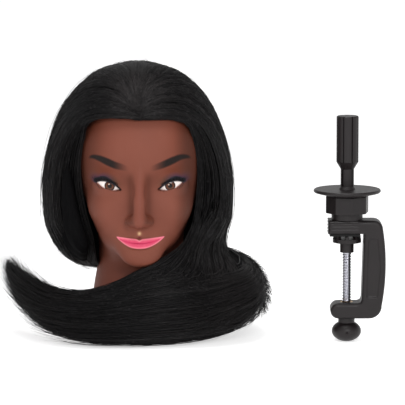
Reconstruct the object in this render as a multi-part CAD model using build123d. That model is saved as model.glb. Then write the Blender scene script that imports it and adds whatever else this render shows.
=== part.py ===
from build123d import *
import os

os.makedirs("parts", exist_ok=True)

# Mannequin training head on its neck, with the table clamp that carries it standing beside it.
# Millimetres. +Z up, the face looks along -Y, +X is the head's left hand side.
# Origin: centre of the socket's mouth, in the plane that the neck rests on.

# ---- driving dimensions: head ----
WALL = 3.6                 # vinyl wall
NECK_HEIGHT = 132          # how far the neck's own loft runs up inside the head
SOCKET_R = 12.2            # bore of the socket
SOCKET_WALL = 2.4
SOCKET_LENGTH = 84
CAP_THICK = 3
PLUG_THICK = 3
RIBS, RIB_THICK, RIB_HEIGHT, RIB_REACH = 6, 2.4, 34, 43
EYE_X, EYE_Y, EYE_Z = 34.6, -73, 177.5
EYE_HALF_WIDTH, EYE_HALF_DEPTH, EYE_HALF_HEIGHT = 15, 12, 8
NOSE_TIP_Z = 138
MOUTH_Z = 115
EAR_X, EAR_Y, EAR_Z = 72, 6, 163

# outer sections of the head: height, centre in Y, half width, half depth
HEAD_SECTIONS = [
    (86, -77, 12, 9), (91, -70, 25, 18), (103, -56, 41, 34), (119, -36, 54, 55), (138, -18, 63, 74),
    (160, -7, 69, 85), (184, -2, 73, 90), (207, 0, 75, 92), (230, 2, 73.5, 89), (251, 5, 65, 80),
    (269, 8, 51, 62), (282, 10, 31, 37), (288, 11, 7, 8),
]
# the same for the neck, flaring to its base
NECK_SECTIONS = [
    (0, 0, 61.5, 62), (6, 0, 60.5, 61), (16, 0, 55, 56), (34, 0, 50, 52), (58, 2, 47.5, 50),
    (82, 6, 47.5, 52), (106, 14, 49, 57), (NECK_HEIGHT, 20, 52, 60),
]
# the nose: height, half width, how far it stands out in front of y = NOSE_ROOT_Y
NOSE_ROOT_Y = -84
NOSE_SECTIONS = [
    (192, 6.5, 8), (174, 7.5, 14), (157, 9.5, 21), (NOSE_TIP_Z + 4, 15, 29), (NOSE_TIP_Z - 6, 14, 20),
]

# ---- driving dimensions: hair ----
HAIR_X = -3.5              # the hair's mass stands a little to one side
# outer sections of the hair: height, centre in Y, half width, half depth
HAIR_SECTIONS = [
    (70, 30, 54, 42), (82, 22, 79, 68), (98, 15, 94, 88), (120, 11, 102, 101), (147, 10, 105, 105),
    (180, 9, 104.5, 106), (213, 8, 98, 104), (235, 8, 91, 99), (257, 10, 80, 90), (279, 10, 61, 72),
    (294, 11, 38, 44), (302, 12, 10, 11),
]
HAIRLINE_Z = 248
# the face's opening in the hair, as points (x, z), hairline first
FACE_OPENING = [
    (-54, HAIRLINE_Z - 2), (-28, 250), (0, 249), (28, 250), (52, HAIRLINE_Z - 2), (61, 219), (62, 185), (58, 147),
    (47, 116), (44, 60), (-50, 60), (-47, 113), (-58, 147), (-66, 191), (-64, 219),
]
FACE_OPENING_BACK_Y = -12
HAIR_BACK_Y = 34           # plane between the side falls and the back
# the length that is drawn behind the neck and round its front:
# centre x, y, z, half depth, half height
SWEEP = [
    (-34, 78, 95, 13, 15), (12, 84, 78, 18, 24), (58, 76, 62, 24, 38), (92, 50, 54, 28, 47), (112, 12, 50, 27, 46),
    (106, -36, 46, 26, 43), (66, -74, 46, 25, 43.5), (14, -92, 44, 23, 42), (-20, -96, 36, 22, 34),
    (-55, -90, 30.5, 20, 28), (-92, -68, 35, 16, 24), (-122, -34, 46, 12, 19), (-141, 0, 62, 6, 10),
    (-150, 22, 76, 1.5, 3),
]
SWEEP_SPLIT_Y = 12         # where the nape's stretch meets the front one
SKIN_GAP = 0.4             # room between the swept hair and the neck

# ---- driving dimensions: clamp ----
CLAMP_X, CLAMP_Y = 225, -40
KNOB_R, KNOB_HALF_HEIGHT = 16, 11.5
KNOB_FLAT = 0.8            # how much of the knob's foot is cut level
KNOB_NECK_R = 9
SCREW_R = 5
SCREW_FOOT_Z = 6
PIN_R = 1.5
PIN_Z = 11
LOWER_JAW_Z = 26           # underside of the lower jaw
LOWER_JAW_HEIGHT = 17
LOWER_JAW_REACH = 18
UPPER_JAW_Z = 119          # underside of the upper jaw
UPPER_JAW_HEIGHT = 15
JAW_DEPTH = 30             # the frame's size along Y
JAW_REACH = 21             # from the screw to the jaw's free end
SPINE_INNER_TOP_X, SPINE_INNER_LOW_X = 18, 15.5
SPINE_OUTER_TOP_X, SPINE_OUTER_MID_X, SPINE_OUTER_LOW_X = 38.5, 42, 37
SPINE_TOP_ROUND, SPINE_LOW_ROUND = 9, 13
JAW_PAD_THICK = 2.5
PAD_R = 15.5
PAD_PLATE = 4
PAD_TOOTH = 3.2
PAD_TEETH = 8
BOSS_R, BOSS_HEIGHT = 7.5, 11
RING_R, RING_HEIGHT = 17, 7
HUB_R, HUB_HEIGHT, HUB_SIDES = 24, 19, 8
DISC_R, DISC_THICK, DISC_RIM = 36.5, 7, 3.5
STEM_R, STEM_HEIGHT = 7.3, 22
TAPER_HEIGHT = 8
POST_R, POST_LENGTH = 12, 50
FLUTES = 8
FLUTE_WIDTH, FLUTE_DEPTH = 1.6, 1.8
STEM_FLUTES, STEM_FLUTE_DEPTH = 4, 1.4
BOLT_R, BOLT_HEAD_R, BOLT_HEAD_HEIGHT = 4, 7.4, 4
WASHER_R, WASHER_THICK = 8.6, 1.5
POCKET_R, POCKET_DEPTH = 9.2, 6.5
INSERT_R = 6.8
RUNNING = 0.05             # radial clearance of a running fit

# levels that follow from these
BOLT_HEAD_Z = UPPER_JAW_Z + 0.5
RING_Z = UPPER_JAW_Z + UPPER_JAW_HEIGHT
HUB_Z = RING_Z + RING_HEIGHT
DISC_Z = HUB_Z + HUB_HEIGHT
STEM_Z = DISC_Z + DISC_THICK
TAPER_Z = STEM_Z + STEM_HEIGHT
THICK_Z = TAPER_Z + TAPER_HEIGHT
POST_TOP_Z = THICK_Z + POST_LENGTH
PAD_TOP_Z = UPPER_JAW_Z - JAW_PAD_THICK - 0.6
PLATE_Z = PAD_TOP_Z - PAD_TOOTH - PAD_PLATE
BOSS_Z = PLATE_Z - BOSS_HEIGHT
SCREW_TOP_Z = BOSS_Z + 7
GROOVE_Z, GROOVE_HEIGHT = BOSS_Z + 1.6, 1.4


def ellipse_at(z, x, y, half_x, half_y):
    return Pos(x, y, z) * Ellipse(half_x, half_y)


def section_loft(sections, x=0, inset=0):
    """A solid through level ellipses, each given as height, centre in Y, half width and half depth."""
    return loft([ellipse_at(z, x, y, a - inset, b - inset) for z, y, a, b in sections])


def ellipsoid(x, y, z, half_x, half_y, half_z):
    return Pos(x, y, z) * scale(Sphere(1), by=(half_x, half_y, half_z))


def cylinder(x, y, z, radius, height):
    return Pos(x, y, z) * Cylinder(radius, height, align=(Align.CENTER, Align.CENTER, Align.MIN))


def block(low, high):
    size = [b - a for a, b in zip(low, high)]
    return Pos(*low) * Box(*size, align=(Align.MIN, Align.MIN, Align.MIN))


def path_loft(stations):
    """A solid along a run of stations, each with an upright elliptical section across the run."""
    centres = [Vector(*s[:3]) for s in stations]
    sections = []
    for i, (centre, station) in enumerate(zip(centres, stations)):
        ahead = centres[min(i + 1, len(centres) - 1)] - centres[max(i - 1, 0)]
        level = Vector(ahead.X, ahead.Y, 0).normalized()
        across = Vector(-level.Y, level.X, 0)
        sections.append(Plane(origin=centre, x_dir=across, z_dir=level) * Ellipse(station[3], station[4]))
    return loft(sections)


# ---------------------------------------------------------------- head
def head_outside():
    head = section_loft(HEAD_SECTIONS)
    neck = section_loft(NECK_SECTIONS)
    nose = loft([ellipse_at(z, 0, NOSE_ROOT_Y, a, b) for z, a, b in reversed(NOSE_SECTIONS)])
    features = [nose]
    for side in (-1, 1):
        features.append(ellipsoid(side * EYE_X, EYE_Y, EYE_Z, EYE_HALF_WIDTH, EYE_HALF_DEPTH, EYE_HALF_HEIGHT))
        features.append(ellipsoid(side * EAR_X, EAR_Y, EAR_Z, 9, 17, 31))
    features.append(ellipsoid(0, -85, MOUTH_Z + 4, 24, 9.5, 4.6))
    features.append(ellipsoid(0, -85, MOUTH_Z - 4, 20, 10, 5))
    return head.fuse(neck, *features)


def head_inside():
    inner_head = section_loft(HEAD_SECTIONS[1:], inset=WALL)
    floor_z, floor_y, floor_a, floor_b = NECK_SECTIONS[0]
    inner_neck_sections = [(floor_z - 1, floor_y, floor_a, floor_b)] + NECK_SECTIONS[1:]
    return inner_head.fuse(section_loft(inner_neck_sections, inset=WALL))


def neck_plug(inside):
    """A plate that closes the neck, with a ring wall and ribs that stiffen the socket."""
    plate = inside & block((-80, -80, 0), (80, 80, PLUG_THICK))
    tube_r = SOCKET_R + SOCKET_WALL
    ribs = None
    rib = block((tube_r, -RIB_THICK / 2, PLUG_THICK), (RIB_REACH, RIB_THICK / 2, PLUG_THICK + RIB_HEIGHT))
    for k in range(RIBS):
        turned = Rot(0, 0, 360 / RIBS * k) * rib
        ribs = turned if ribs is None else ribs.fuse(turned)
    cup = cylinder(0, 0, 0, tube_r + 2, PLUG_THICK + RIB_HEIGHT)
    body = plate.fuse(cup, ribs & inside)
    return body - cylinder(0, 0, -1, tube_r, PLUG_THICK + RIB_HEIGHT + 2)


def socket_tube():
    outside = cylinder(0, 0, 0, SOCKET_R + SOCKET_WALL, SOCKET_LENGTH)
    return outside - cylinder(0, 0, -1, SOCKET_R, SOCKET_LENGTH + 2)


def socket_cap():
    lid = cylinder(0, 0, SOCKET_LENGTH, SOCKET_R + SOCKET_WALL + 2, CAP_THICK)
    skirt = cylinder(0, 0, SOCKET_LENGTH - 8, SOCKET_R + SOCKET_WALL + 2, 8)
    return lid.fuse(skirt - cylinder(0, 0, SOCKET_LENGTH - 9, SOCKET_R + SOCKET_WALL, 9))


def eyelash(side, outside):
    """A thin curved strip that stands a little way out from the upper lid."""
    ring = Ellipse(EYE_HALF_WIDTH + 0.4, EYE_HALF_HEIGHT + 0.4) - Ellipse(EYE_HALF_WIDTH - 0.6, EYE_HALF_HEIGHT - 0.6)
    strip = Pos(side * EYE_X, -60, EYE_Z) * extrude(Plane.XZ * ring, 40)
    room = ellipsoid(side * EYE_X, EYE_Y, EYE_Z, EYE_HALF_WIDTH + 4, EYE_HALF_DEPTH + 4, EYE_HALF_HEIGHT + 4)
    upper = strip & room & block((side * EYE_X - 20, -100, EYE_Z + 2), (side * EYE_X + 20, -60, EYE_Z + 20))
    return largest(upper - outside)


def largest(shape):
    return max(shape.solids(), key=lambda s: s.volume)


# ---------------------------------------------------------------- hair
def hair_masses(outside):
    envelope = section_loft(HAIR_SECTIONS, x=HAIR_X) - outside
    opening = Pos(0, FACE_OPENING_BACK_Y, 0) * extrude(Plane.XZ * make_face(Spline(*FACE_OPENING, periodic=True)), 160)
    neck_room = section_loft(NECK_SECTIONS, inset=-SKIN_GAP)
    sweep = path_loft(SWEEP) - neck_room - outside
    far = 200
    behind = block((SWEEP[0][0] - 30, SWEEP_SPLIT_Y, 0), (far, far, far))
    nape = sweep & behind
    front = sweep - behind
    rest = envelope - opening - sweep
    crown = rest & block((-far, -far, HAIRLINE_Z), (far, far, far * 2))
    below = rest & block((-far, -far, 0), (far, far, HAIRLINE_Z))
    falls = below & block((-far, -far, 0), (far, HAIR_BACK_Y, HAIRLINE_Z))
    back = below & block((-far, HAIR_BACK_Y, 0), (far, far, HAIRLINE_Z))
    left = falls & block((0, -far, 0), (far, far, far * 2))
    right = falls & block((-far, -far, 0), (0, far, far * 2))
    return {
        "hair_crown": largest(crown), "hair_left": largest(left), "hair_right": largest(right),
        "hair_back": largest(back), "hair_nape_sweep": largest(nape), "hair_front_sweep": largest(front),
    }


# ---------------------------------------------------------------- clamp, modelled about its screw
def clamp_frame():
    """The C: upper jaw, bowed spine and a lower jaw with a rounded end."""
    top = UPPER_JAW_Z + UPPER_JAW_HEIGHT
    low_top = LOWER_JAW_Z + LOWER_JAW_HEIGHT
    nose_r = LOWER_JAW_HEIGHT / 2
    nose_x = nose_r - LOWER_JAW_REACH
    top_corner, low_corner = (SPINE_OUTER_TOP_X, top), (SPINE_OUTER_LOW_X, LOWER_JAW_Z)
    corners = [(nose_x, low_top), (SPINE_INNER_LOW_X, low_top), (SPINE_INNER_TOP_X, UPPER_JAW_Z),
               (-JAW_REACH, UPPER_JAW_Z), (-JAW_REACH, top), top_corner]
    outline = [Line(a, b) for a, b in zip(corners, corners[1:])]
    outline.append(ThreePointArc(top_corner, (SPINE_OUTER_MID_X, (top + LOWER_JAW_Z) / 2), low_corner))
    outline.append(Line(low_corner, (nose_x, LOWER_JAW_Z)))
    outline.append(ThreePointArc((nose_x, LOWER_JAW_Z), (-LOWER_JAW_REACH, LOWER_JAW_Z + nose_r), (nose_x, low_top)))
    face = make_face(outline)
    for corner, radius in ((top_corner, SPINE_TOP_ROUND), (low_corner, SPINE_LOW_ROUND)):
        face = fillet(face.vertices().sort_by_distance(corner)[:1], radius)
    body = Pos(0, JAW_DEPTH / 2, 0) * extrude(Plane.XZ * face, JAW_DEPTH)
    inner = body.edges().filter_by(Axis.Y).filter_by(lambda e: 0 < e.center().X < SPINE_INNER_TOP_X + 1)
    body = fillet(inner, 3)
    body = body - cylinder(0, 0, LOWER_JAW_Z - 1, INSERT_R, LOWER_JAW_HEIGHT + 2)
    body = body - cylinder(0, 0, UPPER_JAW_Z - 1, BOLT_R + RUNNING, UPPER_JAW_HEIGHT + 2)
    return body - cylinder(0, 0, UPPER_JAW_Z - 1, POCKET_R, POCKET_DEPTH + 1)


def jaw_pad():
    low = (-JAW_REACH + 2, -JAW_DEPTH / 2 + 2, UPPER_JAW_Z - JAW_PAD_THICK)
    pad = block(low, (SPINE_INNER_TOP_X - 4, JAW_DEPTH / 2 - 2, UPPER_JAW_Z))
    return pad - cylinder(0, 0, low[2] - 1, POCKET_R, JAW_PAD_THICK + 2)


def thread_insert():
    body = cylinder(0, 0, LOWER_JAW_Z, INSERT_R, LOWER_JAW_HEIGHT)
    return body - cylinder(0, 0, LOWER_JAW_Z - 1, SCREW_R + RUNNING, LOWER_JAW_HEIGHT + 2)


def lock_ring():
    ring = cylinder(0, 0, RING_Z, RING_R, RING_HEIGHT)
    return ring - cylinder(0, 0, RING_Z - 1, BOLT_R + RUNNING, RING_HEIGHT + 2)


def swivel_hub():
    """An eight-sided collar with softened edges."""
    body = Pos(0, 0, HUB_Z) * Rot(0, 0, 12) * extrude(RegularPolygon(HUB_R, HUB_SIDES), HUB_HEIGHT)
    body = fillet(body.edges().filter_by(Axis.Z), 3)
    body = fillet(body.faces().filter_by(Axis.Z).edges(), 1)
    return body - cylinder(0, 0, HUB_Z - 1, BOLT_R, HUB_HEIGHT + 2)


def base_disc():
    """The disc's rim is thinner than its middle."""
    half = [(BOLT_R, 0), (HUB_R - 2, 0), (DISC_R - 1, DISC_THICK - DISC_RIM), (DISC_R, DISC_THICK - DISC_RIM + 1),
            (DISC_R, DISC_THICK - 1), (DISC_R - 1, DISC_THICK), (BOLT_R, DISC_THICK)]
    profile = make_face(Polyline(*half, close=True))
    return Pos(0, 0, DISC_Z) * revolve(Plane.XZ * profile, Axis.Z)


def grooves(count, radius, depth, low_z, high_z):
    """Cutters for upright grooves, evenly spaced round the post."""
    slot = block((radius - depth, -FLUTE_WIDTH / 2, low_z), (POST_R + 2, FLUTE_WIDTH / 2, high_z))
    return [Rot(0, 0, 360 / count * (k + 0.5)) * slot for k in range(count)]


def head_post():
    outline = Polyline(
        (0, STEM_Z), (STEM_R + 2, STEM_Z), (STEM_R, STEM_Z + 3), (STEM_R, TAPER_Z), (POST_R, THICK_Z),
        (POST_R, POST_TOP_Z - 1), (POST_R - 1, POST_TOP_Z), (0, POST_TOP_Z), close=True)
    post = revolve(Plane.XZ * make_face(outline), Axis.Z)
    for cutter in grooves(FLUTES, POST_R, FLUTE_DEPTH, THICK_Z - 2, POST_TOP_Z + 1):
        post = post - cutter
    for cutter in grooves(STEM_FLUTES, STEM_R, STEM_FLUTE_DEPTH, STEM_Z + 3, TAPER_Z):
        post = post - cutter
    return post - cylinder(0, 0, STEM_Z - 1, BOLT_R, STEM_HEIGHT)


def post_bolt():
    shank_top = STEM_Z + STEM_HEIGHT - 1
    shank_z = BOLT_HEAD_Z + BOLT_HEAD_HEIGHT
    head = Pos(0, 0, BOLT_HEAD_Z) * extrude(RegularPolygon(BOLT_HEAD_R, 6), BOLT_HEAD_HEIGHT)
    return head.fuse(cylinder(0, 0, shank_z, BOLT_R, shank_top - shank_z))


def bolt_washer():
    z = BOLT_HEAD_Z + BOLT_HEAD_HEIGHT
    return cylinder(0, 0, z, WASHER_R, WASHER_THICK) - cylinder(0, 0, z - 1, BOLT_R + RUNNING, WASHER_THICK + 2)


def pressure_pad():
    """A round plate whose rim carries teeth that bite the table."""
    plate = cylinder(0, 0, PLATE_Z, PAD_R, PAD_PLATE)
    tooth = block((PAD_R - 4.5, -1.6, PLATE_Z + PAD_PLATE), (PAD_R - 0.5, 1.6, PAD_TOP_Z))
    for k in range(PAD_TEETH):
        plate = plate.fuse(Rot(0, 0, 360 / PAD_TEETH * k) * tooth)
    return plate


def pad_boss():
    body = cylinder(0, 0, BOSS_Z, BOSS_R, BOSS_HEIGHT)
    bore = cylinder(0, 0, BOSS_Z - 1, SCREW_R + RUNNING, SCREW_TOP_Z - BOSS_Z + 1)
    return body - bore - cylinder(0, 0, GROOVE_Z, SCREW_R + 1.4, GROOVE_HEIGHT)


def pad_clip():
    """A split ring that sits in the boss's groove and runs in a groove of the screw."""
    z = GROOVE_Z + 0.15
    ring = cylinder(0, 0, z, SCREW_R + 1.4, GROOVE_HEIGHT - 0.3) - cylinder(0, 0, z - 1, SCREW_R - 0.9, 3)
    return ring - block((0, -1.2, z - 1), (10, 1.2, z + 3))


def pin_hole():
    return Pos(0, 0, PIN_Z) * Rot(90, 0, 0) * Cylinder(PIN_R, 4 * KNOB_R)


def clamp_screw():
    shaft = cylinder(0, 0, SCREW_FOOT_Z, SCREW_R, SCREW_TOP_Z - SCREW_FOOT_Z - 0.3)
    neck = cylinder(0, 0, GROOVE_Z, SCREW_R + 1, GROOVE_HEIGHT) - cylinder(0, 0, GROOVE_Z, SCREW_R - 1, GROOVE_HEIGHT)
    return shaft - neck - pin_hole()


def knob():
    """A flattened ball, cut level at its foot, with a short round neck."""
    middle = KNOB_HALF_HEIGHT - KNOB_FLAT
    ball = ellipsoid(0, 0, middle, KNOB_R, KNOB_R, KNOB_HALF_HEIGHT) - block((-50, -50, -10), (50, 50, 0))
    body = ball.fuse(cylinder(0, 0, middle, KNOB_NECK_R, LOWER_JAW_Z - 0.5 - middle))
    return body - cylinder(0, 0, SCREW_FOOT_Z, SCREW_R, LOWER_JAW_Z) - pin_hole()


def knob_pin():
    return Pos(0, 0, PIN_Z) * Rot(90, 0, 0) * Cylinder(PIN_R, 2 * KNOB_R - 3)


outside = head_outside()
inside = head_inside()
parts = {
    "head_skin": outside - inside - block((-90, -90, -5), (90, 90, 0)),
    "neck_plug": neck_plug(inside & block((-90, -90, 0), (90, 90, 60))),
    "socket_tube": socket_tube(),
    "socket_cap": socket_cap(),
    "eyelash_left": eyelash(1, outside),
    "eyelash_right": eyelash(-1, outside),
}
parts.update(hair_masses(outside))

clamp = {
    "clamp_frame": clamp_frame(), "jaw_pad": jaw_pad(), "thread_insert": thread_insert(), "lock_ring": lock_ring(),
    "swivel_hub": swivel_hub(), "base_disc": base_disc(), "head_post": head_post(), "post_bolt": post_bolt(),
    "bolt_washer": bolt_washer(), "pressure_pad": pressure_pad(), "pad_boss": pad_boss(), "pad_clip": pad_clip(),
    "clamp_screw": clamp_screw(), "knob": knob(), "knob_pin": knob_pin(),
}
for name, shape in clamp.items():
    parts[name] = Pos(CLAMP_X, CLAMP_Y, 0) * shape

for name, shape in parts.items():
    export_step(shape, f"parts/{name}.step")
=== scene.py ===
import math
from itertools import product

import bmesh
import bpy
import numpy as np
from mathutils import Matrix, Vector


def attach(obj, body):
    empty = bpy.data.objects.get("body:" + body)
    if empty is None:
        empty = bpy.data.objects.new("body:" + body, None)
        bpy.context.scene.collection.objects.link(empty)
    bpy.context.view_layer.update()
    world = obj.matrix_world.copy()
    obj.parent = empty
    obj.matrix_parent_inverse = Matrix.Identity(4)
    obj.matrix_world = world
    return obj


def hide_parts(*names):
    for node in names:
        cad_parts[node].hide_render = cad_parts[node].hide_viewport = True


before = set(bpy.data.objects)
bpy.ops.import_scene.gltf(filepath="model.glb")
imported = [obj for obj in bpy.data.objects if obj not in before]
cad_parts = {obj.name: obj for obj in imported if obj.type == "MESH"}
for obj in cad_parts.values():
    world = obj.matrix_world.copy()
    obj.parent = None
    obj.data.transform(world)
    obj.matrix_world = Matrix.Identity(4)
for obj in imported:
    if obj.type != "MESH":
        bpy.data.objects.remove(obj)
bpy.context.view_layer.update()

MM = 0.001
RNG = np.random.default_rng(7)


# ---- meshes
def add_mesh(name, points_mm, faces, smooth=True, counts=None):
    """A mesh object from points in millimetres. faces is an (n, k) array, or a flat list with counts."""
    mesh = bpy.data.meshes.new(name)
    points = np.asarray(points_mm, np.float64) * MM
    if counts is None:
        faces = np.asarray(faces, np.int32)
        counts = np.full(len(faces), faces.shape[1], np.int32)
        flat = faces.ravel()
    else:
        flat = np.asarray(faces, np.int32)
        counts = np.asarray(counts, np.int32)
    mesh.vertices.add(len(points))
    mesh.vertices.foreach_set("co", points.astype(np.float32).ravel())
    mesh.loops.add(len(flat))
    mesh.loops.foreach_set("vertex_index", flat)
    mesh.polygons.add(len(counts))
    starts = np.concatenate(([0], np.cumsum(counts)[:-1])).astype(np.int32)
    mesh.polygons.foreach_set("loop_start", starts)
    mesh.polygons.foreach_set("loop_total", counts)
    mesh.polygons.foreach_set("use_smooth", np.full(len(counts), smooth))
    mesh.update(calc_edges=True)
    mesh.validate()
    obj = bpy.data.objects.new(name, mesh)
    bpy.context.scene.collection.objects.link(obj)
    return obj


def paint(obj, name, values):
    """A number per vertex, for the material."""
    layer = obj.data.attributes.new(name, "FLOAT", "POINT")
    layer.data.foreach_set("value", np.asarray(values, np.float32).ravel())


def closed_tube(name, points, rows, sides, back_first):
    """A tube through rings of points; back_first turns the first end's order round instead of the last's."""
    i, j = np.meshgrid(np.arange(rows - 1), np.arange(sides), indexing="ij")
    i, j = i.ravel(), j.ravel()
    k = (j + 1) % sides
    quads = np.stack([i * sides + j, i * sides + k, (i + 1) * sides + k, (i + 1) * sides + j], 1)
    first, last = range(sides), range((rows - 1) * sides, rows * sides)
    if back_first:
        first = first[::-1]
    else:
        last = last[::-1]
    flat = list(quads.ravel()) + list(first) + list(last)
    return add_mesh(name, points, flat, counts=[4] * len(quads) + [sides, sides])


def positions(obj):
    flat = np.empty(len(obj.data.vertices) * 3, np.float32)
    obj.data.vertices.foreach_get("co", flat)
    return flat.reshape(-1, 3).astype(np.float64) / MM


def set_positions(obj, points_mm):
    obj.data.vertices.foreach_set("co", (points_mm * MM).astype(np.float32).ravel())
    obj.data.update()


# ---- implicit shapes, millimetres
def smooth_min(a, b, k):
    h = np.clip(0.5 + 0.5 * (b - a) / k, 0, 1)
    return b * (1 - h) + a * h - k * h * (1 - h)


def smooth_max(a, b, k):
    return -smooth_min(-a, -b, k)


def ellipsoid(p, centre, radii, turn=0.0):
    """turn is about Z, in degrees."""
    q = p - np.array(centre)
    if turn:
        c, s = math.cos(math.radians(turn)), math.sin(math.radians(turn))
        q = np.stack([c * q[:, 0] + s * q[:, 1], -s * q[:, 0] + c * q[:, 1], q[:, 2]], 1)
    r = np.array(radii)
    k0 = np.linalg.norm(q / r, axis=1)
    k1 = np.linalg.norm(q / (r * r), axis=1) + 1e-9
    return k0 * (k0 - 1) / k1


def capsule(p, a, b, ra, rb):
    a, b = np.array(a), np.array(b)
    ab = b - a
    t = np.clip(((p - a) @ ab) / (ab @ ab), 0, 1)
    return np.linalg.norm(p - a - t[:, None] * ab, axis=1) - (ra + (rb - ra) * t)


def ease(low, high, x):
    """0 at low to 1 at high, smoothly."""
    t = np.clip((x - low) / (high - low), 0, 1)
    return t * t * (3 - 2 * t)


def curve_table(knots, values):
    """Values along smoothly joined knots: a Catmull-Rom curve through them, as a function of the knot."""
    knots, values = np.asarray(knots, float), np.asarray(values, float)
    if values.ndim == 1:
        values = values[:, None]
    slopes = np.gradient(values, knots, axis=0)

    def at(t):
        t = np.clip(t, knots[0], knots[-1])
        i = np.clip(np.searchsorted(knots, t, side="right") - 1, 0, len(knots) - 2)
        h = (knots[i + 1] - knots[i])[:, None]
        u = ((t - knots[i]) / (knots[i + 1] - knots[i]))[:, None]
        return ((2 * u**3 - 3 * u**2 + 1) * values[i] + (u**3 - 2 * u**2 + u) * h * slopes[i]
                + (-2 * u**3 + 3 * u**2) * values[i + 1] + (u**3 - u**2) * h * slopes[i + 1])
    return at


# ---- the head's shape
# heights and places on the face, millimetres in the row's frame
EYE = np.array([33.4, -64.5, 175.6])
EYE_RADII = (17.5, 14.0, 13.0)
EYE_TURN = 16
EYE_SLANT = math.radians(17)
EYE_HALF_LENGTH = 13.8
LID_RISE, LID_DROP = 4.6, 4.1
NOSE_TIP = (0, -106, 141)
HEAD_GRID = 2.4
MOUTH_Z = 115.0
MOUTH_HALF = 26.0
# each brow: distance from the middle, then its height and half thickness
BROW = np.array([
    (10, 194.4, 2.4), (16, 196.0, 3.2), (26, 199.2, 4.0), (36, 202.9, 4.1), (46, 205.8, 2.9),
    (53, 204.8, 1.6), (58, 202.0, 0.3),
])
brow_at = curve_table(BROW[:, 0], BROW[:, 1:])
# the neck, flaring to its base: height, centre in Y, half width, half depth
NECK = np.array([
    (-4, 0, 61.5, 62), (0, 0, 61.5, 62), (6, 0, 60.5, 61), (16, 0, 58, 58), (34, 0, 55, 54.5),
    (58, 2, 51.5, 52),
    (82, 6, 47.8, 52), (106, 14, 49, 57), (140, 20, 52, 60),
])
neck_at = curve_table(NECK[:, 0], NECK[:, 1:])


def eye_plane(p):
    """Along and across the slit of the eye on p's side, in millimetres."""
    x = np.abs(p[:, 0]) - EYE[0]
    z = p[:, 2] - EYE[2]
    c, s = math.cos(EYE_SLANT), math.sin(EYE_SLANT)
    return c * x + s * z, -s * x + c * z


def lid_edge(t):
    """Height of the upper lid's edge, for t from -1 at the nose to 1 at the temple."""
    return LID_RISE * (1 - np.abs(t - 0.12 * (1 - t * t)) ** 2.2)


def eye_slit(p):
    """Distance outside the almond of the lids; negative on the eyeball."""
    u, v = eye_plane(p)
    t = np.clip(u / EYE_HALF_LENGTH, -1, 1)
    upper = lid_edge(t)
    lower = -LID_DROP * (1 - np.abs(t) ** 2.0)
    outside = np.maximum(v - upper, lower - v) * 0.8
    return np.maximum(outside, np.abs(u) - EYE_HALF_LENGTH)


def neck_field(p):
    y, a, b = neck_at(p[:, 2]).T
    radius = np.sqrt((p[:, 0] / a) ** 2 + ((p[:, 1] - y) / b) ** 2)
    side = (radius - 1) * np.minimum(a, b)
    return smooth_max(smooth_max(side, p[:, 2] - 128, 22), -p[:, 2], 1.2)


def lips_field(p, ax):
    """Both lips, with the line between them."""
    t = np.clip(ax / MOUTH_HALF, 0, 1)
    front = -92.6 + 15.5 * t**2.2
    upper_z = MOUTH_Z + 2.2 + 1.6 * t**2
    lower_z = MOUTH_Z - 2.9 + 7.4 * t**2
    upper_r = 3.0 * (1 - t**3) + 0.3
    lower_r = 4.4 * (1 - t**2.4) + 0.3
    upper = np.hypot((p[:, 1] - front - 3.0) * 0.9, p[:, 2] - upper_z) - upper_r
    lower = np.hypot((p[:, 1] - front - 2.8) * 0.9, p[:, 2] - lower_z) - lower_r
    return np.maximum(smooth_min(upper, lower, 0.8), ax - MOUTH_HALF)


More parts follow.
